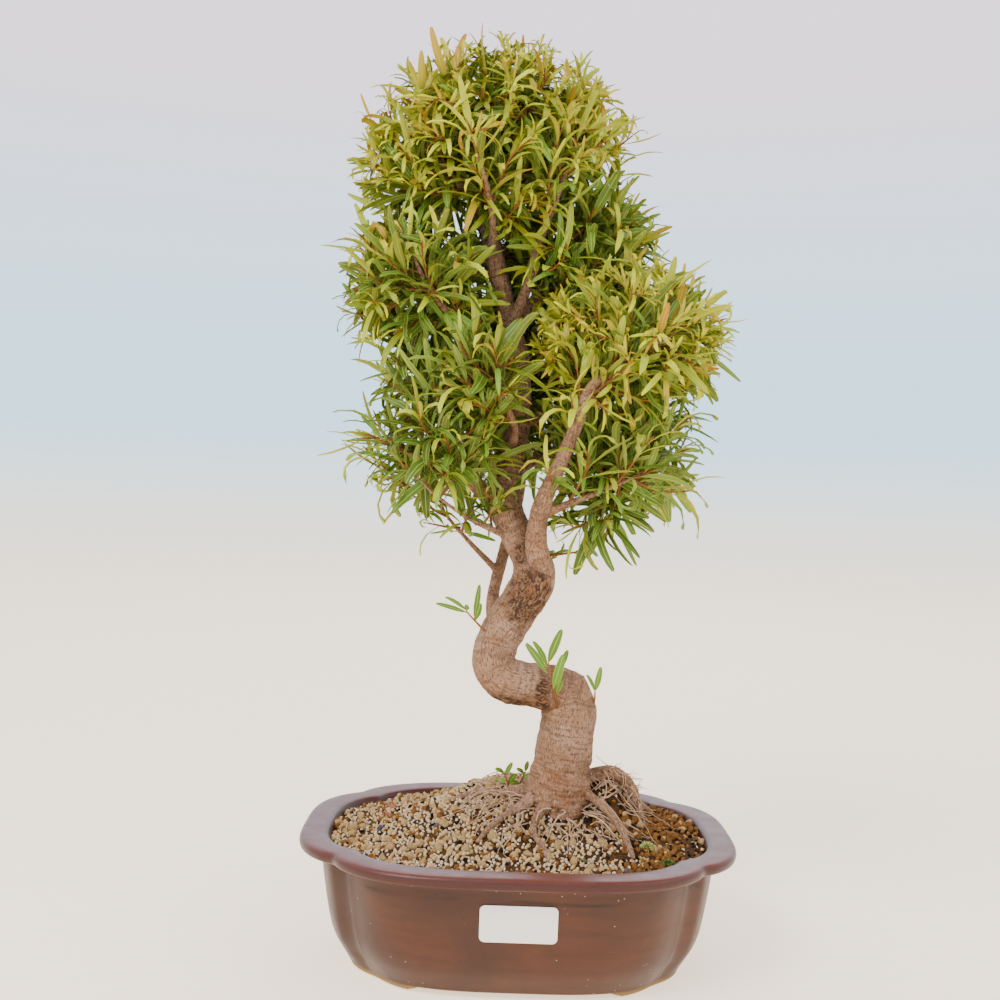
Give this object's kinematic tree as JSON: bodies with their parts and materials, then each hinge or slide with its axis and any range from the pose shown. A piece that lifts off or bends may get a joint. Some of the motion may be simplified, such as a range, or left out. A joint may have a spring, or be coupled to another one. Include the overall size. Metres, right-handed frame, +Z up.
{
  "type": "potted bonsai tree",
  "caption": "Willow leaf fig bonsai with an S-shaped trunk and narrow leaves, standing in a glazed brown quince-shaped ceramic pot on corner feet.",
  "frame": {"origin": "middle of the pot's footprint, on the surface that its feet stand on", "axes": "+Z up along the tree, +X to the right across the pot's long side, -Y towards the front with the label"},
  "size_m": [0.2144, 0.1704, 0.4667],
  "materials": {
    "glaze": "gloss",
    "potting_mix": "matte",
    "bark": "matte",
    "young_leaf": "satin",
    "leaf": "satin",
    "paper": "matte",
    "plastic_mesh": "matte"
  },
  "bodies": {
    "root": {"pot": "glaze", "drain_mesh_left": "plastic_mesh", "drain_mesh_right": "plastic_mesh", "potting_mix": "potting_mix", "trunk": "bark", "blank_label": "paper", "spray_right_stem_tip": "young_leaf", "spray_left_low_tip": "leaf", "spray_left_low_side_tip": "leaf", "spray_left_mid_tip": "leaf", "spray_left_upper_tip": "young_leaf", "spray_top_left_tip": "young_leaf", "spray_fork_front_tip": "young_leaf", "spray_fork_right_tip": "young_leaf", "spray_right_low_tip": "young_leaf", "spray_right_mid_tip": "leaf", "spray_back_stem_tip": "leaf", "spray_back_stem_side_tip": "leaf", "spray_left_thin_tip": "leaf", "spray_back_right_tip": "leaf", "spray_back_left_tip": "leaf", "spray_back_top_tip": "young_leaf", "spray_front_low_tip": "young_leaf", "spray_front_top_tip": "young_leaf", "spray_top_01": "young_leaf", "spray_top_02": "young_leaf", "spray_top_03": "young_leaf", "spray_top_04": "leaf", "spray_upper_right_01": "leaf", "spray_upper_right_02": "leaf", "spray_upper_right_03": "leaf", "spray_upper_right_04": "leaf", "spray_upper_right_05": "leaf", "spray_left_01": "leaf", "spray_left_02": "leaf", "spray_right_01": "leaf", "spray_right_02": "young_leaf", "spray_right_03": "leaf", "spray_right_04": "young_leaf", "spray_low_left_01": "leaf", "spray_low_right_01": "leaf", "spray_low_right_02": "leaf", "spray_low_right_03": "leaf", "spray_low_right_05": "leaf", "spray_back_01": "leaf", "spray_back_02": "leaf", "spray_back_03": "leaf", "shoot_left": "leaf", "shoot_front": "leaf", "shoot_right": "leaf", "shoot_back_stem": "leaf", "shoot_fork": "leaf"}
  },
  "joints": []
}
